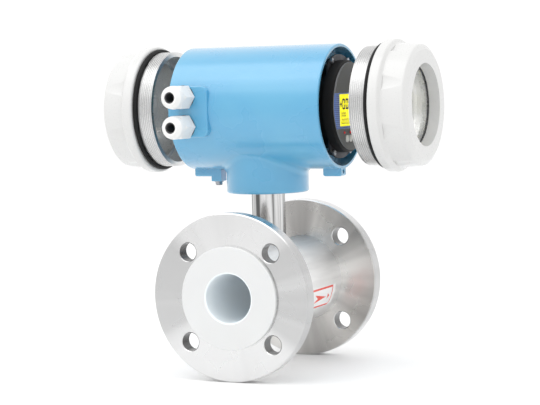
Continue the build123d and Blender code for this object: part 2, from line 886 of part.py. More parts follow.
# Electronics can behind the bracket, with the main and power boards inside it
can = turned_x([
    (can_back, 0),
    (can_back, can_radius),
    (bracket_x, can_radius),
    (bracket_x, can_radius - can_wall),
    (can_back + can_wall, can_radius - can_wall),
    (can_back + can_wall, 0),
])
save("electronics_can", on_axis(can))
save("main_board", on_axis(rod_x(board_radius, main_board_x, main_board_x + board_thickness)))
save("power_board", on_axis(rod_x(board_radius, power_board_x, power_board_x + board_thickness)))
board_screws = []
for i in range(4):
    angle = math.radians(90 * i + 45)
    y = standoff_circle * math.cos(angle)
    z = standoff_circle * math.sin(angle)
    standoffs.append(rod_x(standoff_radius, main_board_x + board_thickness, bracket_x, y, z))
    standoffs.append(rod_x(standoff_radius, power_board_x + board_thickness, main_board_x, y, z))
    head_back = power_board_x - board_screw_height
    board_screws.append(rod_x(standoff_radius, head_back, power_board_x, y, z))
save("board_screws", on_axis(Compound(board_screws)))

core_from = power_board_x + board_thickness
transformer = block(core_from, core_from + transformer_height,
                    -transformer_width / 2, transformer_width / 2,
                    -transformer_depth / 2, transformer_depth / 2)
save("transformer", on_axis(transformer))

# Terminal chamber: a board on four feet, a terminal block and its screws
terminal_board = block(terminal_board_x, terminal_board_x + board_thickness,
                       -terminal_board_width / 2, terminal_board_width / 2,
                       -terminal_board_height / 2, terminal_board_height / 2)
save("terminal_board", on_axis(terminal_board))
for y in (-1, 1):
    for z in (-1, 1):
        foot_y = y * (terminal_board_width / 2 - terminal_standoff_inset)
        foot_z = z * (terminal_board_height / 2 - terminal_standoff_inset)
        standoffs.append(rod_x(standoff_radius, terminal_board_x + board_thickness,
                               partition_left, foot_y, foot_z))
save("board_standoffs", on_axis(Compound(standoffs)))

block_front = terminal_board_x - terminal_block_depth
terminal_block = block(block_front, terminal_board_x,
                       -terminal_block_width / 2, terminal_block_width / 2,
                       -terminal_block_drop - terminal_block_height / 2,
                       -terminal_block_drop + terminal_block_height / 2)
terminal_pitch = terminal_block_width / terminal_count
terminal_screws = []
for i in range(terminal_count):
    y = (i - (terminal_count - 1) / 2) * terminal_pitch
    hole_end = block_front + terminal_screw_depth
    terminal_block -= rod_x(terminal_screw_radius + clear, block_front, hole_end,
                            y, -terminal_block_drop)
    screw_top = block_front + terminal_screw_sink
    screw = rod_x(terminal_screw_radius, screw_top, hole_end, y, -terminal_block_drop)
    slot = block(screw_top, screw_top + terminal_slot_depth,
                 y - terminal_slot_width / 2, y + terminal_slot_width / 2,
                 -terminal_block_drop - terminal_screw_radius,
                 -terminal_block_drop + terminal_screw_radius)
    terminal_screws.append(screw - slot)
save("terminal_block", on_axis(terminal_block))
save("terminal_screws", on_axis(Compound(terminal_screws)))

# Sensor cable: from the coils up the neck to a plug under the electronics can
plug_top = axis_z - can_radius - clear
plug_bottom = plug_top - plug_height
cable = rod_z(cable_radius, yoke_inner + yoke_wall / 2, plug_bottom)
save("sensor_cable", cable)
save("sensor_plug", block(-plug_width / 2, plug_width / 2, -plug_depth / 2, plug_depth / 2,
                          plug_bottom, plug_top))
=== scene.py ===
# %% [markdown]
# # Magnetic flow meter
# A flanged, lined flow tube carries a painted two-chamber converter on a neck pipe.
# The solids of the real construction are loaded as a fixed frame, in metres, and never moved.
# This script only dresses them: finishes, print, thread, weld bead, light and camera.

# %% Load the frame
import bpy
import math
from mathutils import Matrix, Vector


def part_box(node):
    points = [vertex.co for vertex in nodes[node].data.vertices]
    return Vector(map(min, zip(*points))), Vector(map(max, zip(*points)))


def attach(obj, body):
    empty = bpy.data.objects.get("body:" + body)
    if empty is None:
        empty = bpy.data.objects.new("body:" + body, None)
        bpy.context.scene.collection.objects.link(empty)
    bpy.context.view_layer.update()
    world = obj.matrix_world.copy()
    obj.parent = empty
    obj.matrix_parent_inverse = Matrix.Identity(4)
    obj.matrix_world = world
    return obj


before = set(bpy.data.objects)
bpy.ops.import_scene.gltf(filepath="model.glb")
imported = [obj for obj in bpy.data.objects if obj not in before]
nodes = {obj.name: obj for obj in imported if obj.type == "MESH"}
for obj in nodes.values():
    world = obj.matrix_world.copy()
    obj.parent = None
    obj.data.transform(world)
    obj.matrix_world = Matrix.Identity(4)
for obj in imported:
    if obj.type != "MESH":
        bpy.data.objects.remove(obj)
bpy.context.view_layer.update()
mm = 0.001
print("solids:", len(nodes))

# %% [markdown]
# ## Places
# Every piece made here takes its place from the solids' own boxes, so nothing is fitted by eye.
# Axes: +Y is the pipe, +X the converter towards its display, +Z up.

# %% Places read from the frame
shell_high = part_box("coil_shell")[1]
flange_low, flange_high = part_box("outlet_flange")
cover_low, cover_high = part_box("display_cover")
left_cover_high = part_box("terminal_cover")[1]
ring_low, ring_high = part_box("display_cover_oring")
left_ring_low, left_ring_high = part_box("terminal_cover_oring")
label_low, label_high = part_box("flow_label")
lcd_low, lcd_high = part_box("lcd_panel")
shell_radius = shell_high.z
flange_radius = flange_high.z
inner_face = flange_low.y
neck_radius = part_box("neck_pipe")[1].x
axis_z = (cover_low.z + cover_high.z) / 2
print("axis height", round(axis_z, 4), "shell radius", round(shell_radius, 4))

# %% [markdown]
# ## Colours
# Colours are written as they look on a screen, in hex, because that is how one picks them from a
# paint card or a photograph. The shader counts in linear light, so one function converts them.


# %% Colours
def tone(hex_code):
    """An sRGB hex colour as linear RGBA."""
    values = []
    for i in (0, 2, 4):
        v = int(hex_code[i:i + 2], 16) / 255
        values.append(v / 12.92 if v <= 0.04045 else ((v + 0.055) / 1.055) ** 2.4)
    return (*values, 1.0)


print("white is", tone("FFFFFF"), "mid grey is", [round(v, 3) for v in tone("808080")])

# %% [markdown]
# ## Nodes and materials
# One function adds any node, so that each finish below reads as a short list of nodes. Another
# starts a material with its shader and its object coordinates. Those are metres on the real
# object, so every pattern is given its real size, and no piece is unwrapped.


# %% Adding a node and starting a material
def add(tree, kind, settings=None, links=None, **values):
    """Add a node and return its first output that is in use.

    Settings are properties, links join other sockets to inputs, and values set inputs, by name
    or by number as i0, i1 and so on.
    """
    node = tree.nodes.new(kind)
    for key, value in (settings or {}).items():
        setattr(node, key, value)
    for key, value in values.items():
        by_number = key[0] == "i" and key[1:].isdigit()
        node.inputs[int(key[1:]) if by_number else key.replace("_", " ")].default_value = value
    for key, socket in (links or {}).items():
        tree.links.new(socket, node.inputs[key])
    return next(socket for socket in node.outputs if socket.enabled)


def start(name, colour, roughness, metallic=0.0, **shader):
    """A material with one principled shader; returns it with its tree, shader and coordinates."""
    material = bpy.data.materials.new(name)
    material.use_nodes = True
    tree = material.node_tree
    bsdf = tree.nodes["Principled BSDF"]
    bsdf.inputs["Base Color"].default_value = tone(colour)
    bsdf.inputs["Roughness"].default_value = roughness
    bsdf.inputs["Metallic"].default_value = metallic
    for key, value in shader.items():
        bsdf.inputs[key.replace("_", " ")].default_value = value
    where = tree.nodes.new("ShaderNodeTexCoord").outputs["Object"]
    return material, tree, bsdf, where


def wire(tree, bsdf, **sockets):
    """Join sockets to the shader's inputs of those names."""
    for key, socket in sockets.items():
        tree.links.new(socket, bsdf.inputs[key.replace("_", " ")])


print("materials so far:", len(bpy.data.materials))

# %% [markdown]
# ## Wear that drifts
# No real finish is even. Cloudy patches, some centimetres across, move its tone and its gloss a
# little, and a fine grain breaks up its reflections. Noise gives all three. The gloss eases in
# and out of its two limits, because a hard limit would draw an outline on a smooth surface.


# %% Drifting tone, drifting gloss and fine relief
noise_low, noise_high = 0.3, 0.7  # a noise texture seldom leaves these values


def mottle(tree, where, grain, dark, light, detail=3.0):
    """A colour that drifts between two tones over patches about that many metres across."""
    patch = add(tree, "ShaderNodeTexNoise", links={"Vector": where}, Scale=1 / grain, Detail=detail)
    return add(tree, "ShaderNodeMix", {"data_type": "RGBA"}, {"Factor": patch},
               i6=tone(dark), i7=tone(light))


def drift(tree, where, grain, low, high, detail=3.0):
    """A roughness that drifts between two values over patches of that size."""
    patch = add(tree, "ShaderNodeTexNoise", links={"Vector": where}, Scale=1 / grain, Detail=detail)
    return add(tree, "ShaderNodeMapRange", {"interpolation_type": "SMOOTHSTEP"}, {"Value": patch},
               From_Min=noise_low, From_Max=noise_high, To_Min=low, To_Max=high)


def texture(tree, where, grain, height, strength=0.5, detail=3.0):
    """A normal with relief of that height in metres, and grains of that size."""
    patch = add(tree, "ShaderNodeTexNoise", links={"Vector": where}, Scale=1 / grain, Detail=detail)
    return add(tree, "ShaderNodeBump", links={"Height": patch}, Strength=strength, Distance=height)


def from_axis(tree, where, across, centre=(0, 0, 0)):
    """How far a point lies from an axis through the centre; across is 0 along the axis."""
    moved = add(tree, "ShaderNodeVectorMath", {"operation": "SUBTRACT"}, {0: where}, i1=centre)
    flat = add(tree, "ShaderNodeVectorMath", {"operation": "MULTIPLY"}, {0: moved}, i1=across)
    return add(tree, "ShaderNodeVectorMath", {"operation": "LENGTH"}, {0: flat})


print("noise is taken to run from", noise_low, "to", noise_high)

# %% [markdown]
# ## Stainless steel
# The flanges are turned from forged 304 steel, and the shell and neck are drawn tube, all with a
# satin polish. A lathe leaves very fine rings and a belt leaves fine lines round a tube, so the
# reflections smear across them. Real grooves are far too fine to model, so the shader's
# anisotropy smears along a tangent that runs round the axis, and a shallow bump draws lines as
# coarse as they need to be to show. Handling leaves faint smudges that are a touch rougher.

# %% What all the steel shares
smudge_size = 35 * mm
tool_line_height = 0.0012 * mm
dull_below, bright_above = 0.36, 0.6  # noise values between which painted reflection and wear fade


def satin_steel(name, light, roughness, round_axis):
    """Polished steel whose reflections smear round an axis."""
    material, tree, bsdf, where = start(name, light, roughness, metallic=1.0, Anisotropic=0.6)
    grain = add(tree, "ShaderNodeTangent", {"direction_type": "RADIAL", "axis": round_axis})
    smudge = drift(tree, where, smudge_size, roughness - 0.02, roughness + 0.03)
    wire(tree, bsdf, Tangent=grain, Roughness=smudge)
    return material, tree, bsdf, where


def tool_lines(tree, bsdf, line, pitch):
    """Ridges of that pitch along a coordinate."""
    phase = add(tree, "ShaderNodeMath", {"operation": "MULTIPLY"}, {0: line}, i1=2 * math.pi / pitch)
    wave = add(tree, "ShaderNodeMath", {"operation": "SINE"}, {0: phase})
    ridge = add(tree, "ShaderNodeMath", {"operation": "MULTIPLY_ADD"}, {0: wave}, i1=0.5, i2=0.5)
    wire(tree, bsdf, Normal=add(tree, "ShaderNodeBump", links={"Height": ridge},
                                Strength=1.0, Distance=tool_line_height))


print("tool lines", round(tool_line_height / mm, 4), "mm high")

# %% [markdown]
# ### Turned flanges
# A turned face shows soft bright and dark sectors of reflection, as a record does. Here they are painted into
# the colour as reflection, brightest above and below the pipe. Noise on the direction from the pipe makes
# them, since it stays the same along each spoke. The faces towards the shell are left duller, with patches of
# painted reflection, and the drilled bolt holes are darker still, as painted shade inside them.

# %% Turned flanges
turned_steel, tree, bsdf, where = satin_steel("turned_steel", "DDDDDD", 0.26, "Y")
bolt_offset = 62.5 * mm * math.cos(math.pi / 4)
bolt_hole_radius = 9.0 * mm
ring_pitch = 0.45 * mm
sector_size = 0.8  # across a circle of radius 1
tool_lines(tree, bsdf, from_axis(tree, where, (1, 0, 1)), ring_pitch)

# The sectors are painted reflection: lighter where the spoke points up or down, with noise between.
flat = add(tree, "ShaderNodeVectorMath", {"operation": "MULTIPLY"}, {0: where}, i1=(1, 0, 1))
spoke = add(tree, "ShaderNodeVectorMath", {"operation": "NORMALIZE"}, {0: flat})
sector = add(tree, "ShaderNodeTexNoise", links={"Vector": spoke}, Scale=1 / sector_size, Detail=3.0)
height = add(tree, "ShaderNodeSeparateXYZ", links={"Vector": spoke}).node.outputs[2]
upright = add(tree, "ShaderNodeMath", {"operation": "MULTIPLY"}, {0: height, 1: height})
lowered = add(tree, "ShaderNodeMath", {"operation": "SUBTRACT"}, {0: sector}, i1=0.16)
reflection_and_wear = add(tree, "ShaderNodeMath", {"operation": "MULTIPLY_ADD"}, {0: upright, 2: lowered}, i1=0.3)
reflection_and_wear = add(tree, "ShaderNodeMapRange", {"interpolation_type": "SMOOTHSTEP"}, {"Value": reflection_and_wear},
           From_Min=dull_below, From_Max=bright_above)
sector_reflection = add(tree, "ShaderNodeMix", {"data_type": "RGBA"}, {"Factor": reflection_and_wear},
               i6=tone("BEBEBE"), i7=tone("DDDDDD"))

# Inside the bolt holes the steel is painted dark, as painted shade.
quarter = add(tree, "ShaderNodeVectorMath", {"operation": "ABSOLUTE"}, {0: flat})
to_hole = from_axis(tree, quarter, (1, 0, 1), (bolt_offset, 0, bolt_offset))
in_hole = add(tree, "ShaderNodeMath", {"operation": "LESS_THAN"}, {0: to_hole},
              i1=bolt_hole_radius + 0.1 * mm)
hole_shade = add(tree, "ShaderNodeMix", {"data_type": "RGBA"}, {"Factor": reflection_and_wear},
              i6=tone("5A5A5A"), i7=tone("6C6C6C"))
with_holes = add(tree, "ShaderNodeMix", {"data_type": "RGBA"},
                 {"Factor": in_hole, 6: sector_reflection, 7: hole_shade})

along = add(tree, "ShaderNodeSeparateXYZ", links={"Vector": where}).node.outputs[1]
from_middle = add(tree, "ShaderNodeMath", {"operation": "ABSOLUTE"}, {0: along})
is_inner = add(tree, "ShaderNodeMath", {"operation": "LESS_THAN"}, {0: from_middle},
               i1=inner_face + 0.2 * mm)
# The faces towards the shell get dark and light patches of painted reflection, sector by sector.
patch = add(tree, "ShaderNodeMapRange", {"interpolation_type": "SMOOTHSTEP"}, {"Value": sector},
            From_Min=0.4, From_Max=0.62)
inner = add(tree, "ShaderNodeMix", {"data_type": "RGBA"}, {"Factor": patch},
            i6=tone("A8A6A4"), i7=tone("E2E0DD"))
wire(tree, bsdf, Base_Color=add(tree, "ShaderNodeMix", {"data_type": "RGBA"},
                                {"Factor": is_inner, 6: with_holes, 7: inner}))
print("bolt holes at", round(bolt_offset / mm, 2), "mm across and up")

# %% [markdown]
# ### Drawn tube
# A drawn and belted tube keeps straight streaks along its length. They are noise on coordinates that are
# squeezed along the tube, so that each patch is stretched into a streak. On the shell the faint streaks are
# wear; on the neck the deep dark streaks are painted reflection.


# %% Shell and neck
streak_width = 7 * mm
belt_pitch = 0.5 * mm


def streaks(tree, bsdf, where, dark, light, squeeze=(1, 1, 1)):
    """Wear and painted reflection between two tones, stretched along each axis whose squeeze is small."""
    squeezed = add(tree, "ShaderNodeMapping", links={"Vector": where}, Scale=squeeze)
    streak = add(tree, "ShaderNodeTexNoise", links={"Vector": squeezed}, Scale=1 / streak_width, Detail=3.0)
    reflection_and_wear = add(tree, "ShaderNodeMapRange", {"interpolation_type": "SMOOTHSTEP"}, {"Value": streak},
               From_Min=dull_below, From_Max=bright_above)
    wire(tree, bsdf, Base_Color=add(tree, "ShaderNodeMix", {"data_type": "RGBA"}, {"Factor": reflection_and_wear},
                                    i6=tone(dark), i7=tone(light)))


def drawn_tube(name, light, dark, roughness, axis, squeeze):
    """Steel tube along one axis, X, Y or Z, with belt lines round it and streaks along it."""
    material, tree, bsdf, where = satin_steel(name, light, roughness, axis)
    parts = add(tree, "ShaderNodeSeparateXYZ", links={"Vector": where}).node.outputs
    tool_lines(tree, bsdf, parts[axis], belt_pitch)
    streaks(tree, bsdf, where, dark, light, squeeze)
    return material


shell_steel = drawn_tube("shell_steel", "FDFDFD", "F6F6F6", 0.5, "Y", squeeze=(1, 0.1, 1))
# The neck's deep dark streaks are painted reflection.
neck_steel = drawn_tube("neck_steel", "E6E6E6", "606060", 0.2, "Z", squeeze=(1, 1, 0.02))
print("tubes:", shell_steel.name, neck_steel.name)

# %% [markdown]
# ## Powder coat
# The converter is die-cast aluminium with a sky blue polyester powder coat. Powder flows into a
# glossy skin with a very soft orange peel of about a millimetre, so highlights stay bright but
# their edges waver. A clear coat over a plain base gives that skin without a second surface.

# %% Blue powder coat
blue_paint, tree, bsdf, where = start(
    "blue_powder_coat", "4FA5CC", 0.28, Coat_Weight=1.0, Coat_Roughness=0.25, Coat_IOR=1.7,
    Sheen_Weight=0.2, Sheen_Roughness=0.4)
blue_grain = 60 * mm
flow = add(tree, "ShaderNodeTexNoise", links={"Vector": where}, Scale=1 / blue_grain, Detail=3.0)
depth = add(tree, "ShaderNodeMapRange", {"interpolation_type": "SMOOTHSTEP"}, {"Value": flow},
            From_Min=noise_low, From_Max=noise_high)
wire(tree, bsdf,
     Base_Color=add(tree, "ShaderNodeMix", {"data_type": "RGBA"}, {"Factor": depth},
                    i6=tone("439ECA"), i7=tone("4FA5CC")),
     Roughness=drift(tree, where, blue_grain, 0.25, 0.32),
     Normal=texture(tree, where, 1.4 * mm, 0.005 * mm, detail=2.0))
print("paint:", blue_paint.name)

# %% [markdown]
# ## Screw covers
# Each cover is cast in one piece: painted white outside, bright where the spigot and the O-ring
# seat were turned, and pale bare metal inside the cup, where the casting has only been blasted.
# The solid is one mesh, so one material does all three. It chooses by how far a point lies from
# the converter's axis and how deep behind the spigot's mouth. That is simpler than giving each
# face a material of its own, because the solid comes as loose triangles.

# %% Which faces of a cover are turned and which are blasted
bare_radius = 55.0 * mm  # inside the spigot's outer wall
cup_radius = 53.0 * mm  # outside the cup's bore
mouth_rim = 0.2 * mm


def cover_zones(tree, where, mouth_x, direction, flange_depth, cup_depth):
    """Sockets that are 1 on turned and on blasted faces, and the depth behind the mouth."""
    radius = from_axis(tree, where, (0, 1, 1), (0, 0, axis_z))
    x = add(tree, "ShaderNodeSeparateXYZ", links={"Vector": where}).node.outputs[0]
    depth = add(tree, "ShaderNodeMath", {"operation": "MULTIPLY_ADD"}, {0: x},
                i1=direction, i2=-mouth_x * direction)

    is_outside = add(tree, "ShaderNodeMath", {"operation": "GREATER_THAN"}, {0: radius}, i1=bare_radius)
    before_flange = add(tree, "ShaderNodeMath", {"operation": "LESS_THAN"}, {0: depth}, i1=flange_depth)
    past_rim = add(tree, "ShaderNodeMath", {"operation": "GREATER_THAN"}, {0: depth}, i1=mouth_rim)
    on_spigot = add(tree, "ShaderNodeMath", {"operation": "MULTIPLY"}, {0: before_flange, 1: past_rim})
    turned = add(tree, "ShaderNodeMath", {"operation": "MULTIPLY"}, {0: is_outside, 1: on_spigot})

    is_inside = add(tree, "ShaderNodeMath", {"operation": "LESS_THAN"}, {0: radius}, i1=cup_radius)
    before_end = add(tree, "ShaderNodeMath", {"operation": "LESS_THAN"}, {0: depth}, i1=cup_depth)
    in_cup = add(tree, "ShaderNodeMath", {"operation": "MULTIPLY"}, {0: is_inside, 1: before_end})
    on_rim = add(tree, "ShaderNodeMath", {"operation": "LESS_THAN"}, {0: depth}, i1=mouth_rim)
    blasted = add(tree, "ShaderNodeMath", {"operation": "MAXIMUM"}, {0: in_cup, 1: on_rim})
    return turned, blasted, depth


display_flange_depth = ring_high.x - cover_low.x
terminal_flange_depth = left_cover_high.x - left_ring_low.x
print("flanges", round(display_flange_depth / mm, 2), "and", round(terminal_flange_depth / mm, 2),
      "mm behind the mouths")

# %% [markdown]
# ### Turning rings and orange peel
# The paint's orange peel lies all over a cover, and the lathe's rings only on its turned faces,
# so both are heights in millimetres that are added before one bump node reads them.

# %% Relief and finish of the covers
turning_pitch = 0.9 * mm
peel_grain = 1.4 * mm


def cover_relief(tree, where, turned, depth):
    """A normal with orange peel everywhere and rings on the turned faces."""
    phase = add(tree, "ShaderNodeMath", {"operation": "MULTIPLY"}, {0: depth}, i1=2 * math.pi / turning_pitch)
    wave = add(tree, "ShaderNodeMath", {"operation": "SINE"}, {0: phase})
    ridge = add(tree, "ShaderNodeMath", {"operation": "MULTIPLY_ADD"}, {0: wave}, i1=0.025, i2=0.025)
    rings = add(tree, "ShaderNodeMath", {"operation": "MULTIPLY"}, {0: turned, 1: ridge})
    peel = add(tree, "ShaderNodeTexNoise", links={"Vector": where}, Scale=1 / peel_grain, Detail=2.0)
    relief = add(tree, "ShaderNodeMath", {"operation": "MULTIPLY_ADD"}, {0: peel, 2: rings}, i1=0.008)
    return add(tree, "ShaderNodeBump", links={"Height": relief}, Strength=0.6, Distance=1.0 * mm)


def cover_finish(name, mouth_x, direction, flange_depth, cup_depth):
    """White outside, bright metal on the spigot, pale bare metal inside the cup."""
    material, tree, bsdf, where = start(name, "D6D6D5", 0.3, Coat_Weight=0.3, Coat_Roughness=0.15)
    turned, blasted, depth = cover_zones(tree, where, mouth_x, direction, flange_depth, cup_depth)
    unturned = add(tree, "ShaderNodeMix", {"data_type": "RGBA"}, {
        "Factor": blasted,
        6: mottle(tree, where, 50 * mm, "D3D3D2", "D8D8D7"),
        7: mottle(tree, where, 25 * mm, "E6E5E3", "F0EFED")})
    colour = add(tree, "ShaderNodeMix", {"data_type": "RGBA"}, {
        "Factor": turned,
        6: unturned,
        7: mottle(tree, where, 25 * mm, "A6A6A6", "C6C6C6")})
    rough = add(tree, "ShaderNodeMix", {"data_type": "FLOAT"}, {
        "Factor": turned,
        2: drift(tree, where, peel_grain, 0.27, 0.34, detail=2.0),
        3: drift(tree, where, 25 * mm, 0.26, 0.36)})
    is_metal = add(tree, "ShaderNodeMath", {"operation": "MAXIMUM"}, {0: turned, 1: blasted})
    wire(tree, bsdf, Base_Color=colour, Metallic=is_metal, Roughness=rough,
         Normal=cover_relief(tree, where, turned, depth))
    return material


display_cover_finish = cover_finish(
    "display_cover_finish", cover_low.x, 1.0, display_flange_depth, cup_depth=45.0 * mm)
terminal_cover_finish = cover_finish(
    "terminal_cover_finish", left_cover_high.x, -1.0, terminal_flange_depth, cup_depth=60.0 * mm)
print("covers:", display_cover_finish.name, terminal_cover_finish.name)

# %% [markdown]
# ## PTFE liner
# The liner is skived PTFE: waxy, a little translucent and never glossy. A little subsurface scattering gives
# the wax. Inside the bore the colour is painted paler than on the faces and a faint blue, as painted light
# that stands in for the light along the bore; the bore is chosen by the distance from the pipe's axis.

# %% Liner
ptfe, tree, bsdf, where = start("ptfe", "F4F5F6", 0.42, Subsurface_Weight=0.25,
                                Subsurface_Radius=(0.8, 0.8, 0.9), Subsurface_Scale=0.002)
bore_wall, bore_rim = 25.1 * mm, 25.7 * mm
# The bore's paler, bluish colour is painted light.
in_bore = add(tree, "ShaderNodeMapRange", {"interpolation_type": "SMOOTHSTEP"},
              {"Value": from_axis(tree, where, (1, 0, 1))},
              From_Min=bore_wall, From_Max=bore_rim, To_Min=1.0, To_Max=0.0)
skive = 3 * mm
wire(tree, bsdf,
     Base_Color=add(tree, "ShaderNodeMix", {"data_type": "RGBA"}, {
         "Factor": in_bore,
         6: mottle(tree, where, 30 * mm, "DADBDB", "E0E1E1"),
         7: mottle(tree, where, 40 * mm, "EEF6FB", "F4F9FC")}),
     Roughness=drift(tree, where, skive, 0.37, 0.49, detail=4.0),
     Normal=texture(tree, where, skive, 0.03 * mm, detail=4.0))
print("liner:", ptfe.name)

# %% [markdown]
# ## Plastics, rubber and glass
# The glands are moulded white nylon, the seals black nitrile rubber, and the display's case and panel
# injection-moulded plastic. All come from a mould with a fine spark-eroded grain, so one recipe serves them:
# a slow drift of tone, and a grain that breaks the gloss and the surface. The window is toughened glass with
# a faint white veil, partly dust and partly painted reflection, so a little of it scatters light.


# %% Moulded parts and the window
def moulded(name, light, dark, roughness, grain=0.8 * mm, height=0.02 * mm, **shader):
    """Moulded plastic or rubber: a fine surface grain and a slow drift of tone."""
    material, tree, bsdf, where = start(name, light, roughness, **shader)
    wire(tree, bsdf,
         Base_Color=mottle(tree, where, 30 * mm, dark, light),
         Roughness=drift(tree, where, grain, roughness - 0.05, roughness + 0.07, detail=4.0),
         Normal=texture(tree, where, grain, height, detail=4.0))
    return material


nylon = moulded("white_nylon", "EEEEED", "E6E6E5", 0.38,
                Subsurface_Weight=0.15, Subsurface_Radius=(0.6, 0.6, 0.6), Subsurface_Scale=0.001)
rubber = moulded("black_rubber", "0B0B0C", "060607", 0.55, 1.2 * mm, 0.03 * mm, Specular_IOR_Level=0.3)
grey_rubber = moulded("grey_rubber", "4C4D4F", "424345", 0.6, 1.2 * mm, 0.03 * mm)
black_plastic = moulded("black_plastic", "0A0A0B", "060607", 0.6, 0.5 * mm, Specular_IOR_Level=0.25)
grey_panel = moulded("grey_panel", "68696B", "5E5F61", 0.5, 0.4 * mm, 0.01 * mm)
button_rubber = moulded("button_rubber", "F2F2F0", "E6E6E4", 0.5, 0.4 * mm, 0.01 * mm)

# A tenth of the window is white and diffuse: a veil that is partly dust and partly painted reflection.
glass, tree, bsdf, where = start("window_glass", "FBFCFC", 0.03, Transmission_Weight=0.9, IOR=1.5)
wire(tree, bsdf, Roughness=drift(tree, where, 30 * mm, 0.015, 0.05))
print("moulded:", [m.name for m in (nylon, rubber, grey_rubber, black_plastic, grey_panel, button_rubber)])

# %% [markdown]
# ## Small metal pieces
# Zinc plated screws and nuts, a steel bracket whose dark grey is partly painted shade, brass terminals, soft
# iron, and the bare aluminium of the window's ring and the threads. Most of it is small or hidden, so it is
# finished plainly: patches of tone that are also patches of gloss, as on any plated or sawn metal.


# %% Plain metals
def plain_metal(name, light, dark, roughness, grain=6 * mm):
    """Plated or sawn metal in patches of tone and gloss."""
    material, tree, bsdf, where = start(name, light, roughness, metallic=1.0)
    wire(tree, bsdf,
         Base_Color=mottle(tree, where, grain, dark, light),
         Roughness=drift(tree, where, grain, roughness - 0.07, roughness + 0.1),
         Normal=texture(tree, where, 0.6 * mm, 0.01 * mm, 0.4))
    return material


zinc = plain_metal("zinc_plate", "B4B7BC", "9A9DA2", 0.34)
# The bracket's dark grey is partly painted shade.
bracket_steel = plain_metal("bracket_steel", "5A5B5F", "48494D", 0.5)
brass = plain_metal("brass", "C9A457", "A88642", 0.3)
iron = plain_metal("soft_iron", "5E5F62", "4C4D50", 0.5)
aluminium = plain_metal("bare_aluminium", "EFEFEE", "DADAD9", 0.28)
print("metals:", zinc.name, bracket_steel.name, brass.name, iron.name, aluminium.name)

# %% [markdown]
# ## Windings and boards
# A coil is one enamelled wire laid turn on turn, so its strands are a sine wave on the distance
# from the coil's axis. A circuit board's copper tracks show as paler lines under green lacquer,
# which the edges of a cell pattern give well enough for a board that is seen through a gap.

# %% Copper winding and circuit board
strand_pitch = 0.8 * mm
copper, tree, bsdf, where = start("copper_winding", "A85A32", 0.35, metallic=1.0)
phase = add(tree, "ShaderNodeMath", {"operation": "MULTIPLY"},
            {0: from_axis(tree, where, (1, 1, 0))}, i1=2 * math.pi / strand_pitch)
strand = add(tree, "ShaderNodeMath", {"operation": "SINE"}, {0: phase})
# The strand wave also paints the colour: painted shade in the grooves between strands, paler crowns.
groove_shade = add(tree, "ShaderNodeMapRange", {"interpolation_type": "SMOOTHSTEP"}, {"Value": strand},
            From_Min=-1.0, From_Max=1.0)
wire(tree, bsdf,
     Base_Color=add(tree, "ShaderNodeMix", {"data_type": "RGBA"}, {"Factor": groove_shade},
                    i6=tone("7C3C1E"), i7=tone("B8683C")),
     Normal=add(tree, "ShaderNodeBump", links={"Height": strand}, Strength=1.0, Distance=0.1 * mm))

board_green, tree, bsdf, where = start("circuit_board", "1B6B3E", 0.35)
cell_edge = add(tree, "ShaderNodeTexVoronoi", {"feature": "DISTANCE_TO_EDGE"}, {"Vector": where},
                Scale=1 / (7 * mm))
track = add(tree, "ShaderNodeMath", {"operation": "LESS_THAN"}, {0: cell_edge}, i1=0.04)
wire(tree, bsdf,
     Base_Color=add(tree, "ShaderNodeMix", {"data_type": "RGBA"}, {"Factor": track},
                    i6=tone("17613A"), i7=tone("2B8A54")),
     Normal=add(tree, "ShaderNodeBump", links={"Height": track}, Strength=1.0, Distance=0.03 * mm))
print("inside:", copper.name, board_green.name)

# %% [markdown]
# ## Display
# The bezel is a ribbed blue strip behind a clear sheet, and the screen a backlit yellow-green
# liquid crystal. The backlight makes the yellow glow evenly, so a little of its light is its own.
# The pixels are a third of a millimetre, too fine to see, and only roughen the glow.

# %% Bezel and screen
rib_pitch = 1.9 * mm
bezel_blue, tree, bsdf, where = start("bezel_blue", "4A6FC0", 0.3, Coat_Weight=0.4, Coat_Roughness=0.08)
z = add(tree, "ShaderNodeSeparateXYZ", links={"Vector": where}).node.outputs[2]
phase = add(tree, "ShaderNodeMath", {"operation": "MULTIPLY"}, {0: z}, i1=2 * math.pi / rib_pitch)
wave = add(tree, "ShaderNodeMath", {"operation": "SINE"}, {0: phase})
# The ribs' colour is painted shade and highlight: darker in each groove, paler on each crest.
rib = add(tree, "ShaderNodeMapRange", {"interpolation_type": "SMOOTHSTEP"}, {"Value": wave},
          From_Min=-1.0, From_Max=1.0)
wire(tree, bsdf,
     Base_Color=add(tree, "ShaderNodeMix", {"data_type": "RGBA"}, {"Factor": rib},
                    i6=tone("2F52A8"), i7=tone("6F93DC")),
     Normal=add(tree, "ShaderNodeBump", links={"Height": rib}, Strength=1.0, Distance=0.08 * mm))

lcd_yellow, tree, bsdf, where = start("lcd_yellow", "FFF200", 0.2, Emission_Strength=0.75,
                                      Emission_Color=tone("FFF200"))
pixel = add(tree, "ShaderNodeTexChecker", links={"Vector": where}, Scale=1 / (0.35 * mm),
            Color1=(1, 1, 1, 1), Color2=(0, 0, 0, 1))
wire(tree, bsdf,
     Base_Color=mottle(tree, where, 20 * mm, "F6E800", "FFF81C"),
     Normal=add(tree, "ShaderNodeBump", links={"Height": pixel}, Strength=0.3, Distance=0.005 * mm))
print("display:", bezel_blue.name, lcd_yellow.name)

# %% [markdown]
# ## Ink, lamps and the label
# The figures are dark crystal, the small ones paler, the lamps clear red plastic with a faint
# light of their own, and the label a white foil with red screen print. Each is a plain colour in
# life, so each gets only a drift of tone.


# %% Inks, lamps and foil
def plain_ink(name, light, dark):
    """A flat dark colour with a slight drift."""
    material, tree, bsdf, where = start(name, light, 0.35)
    wire(tree, bsdf, Base_Color=mottle(tree, where, 2 * mm, dark, light))
    return material


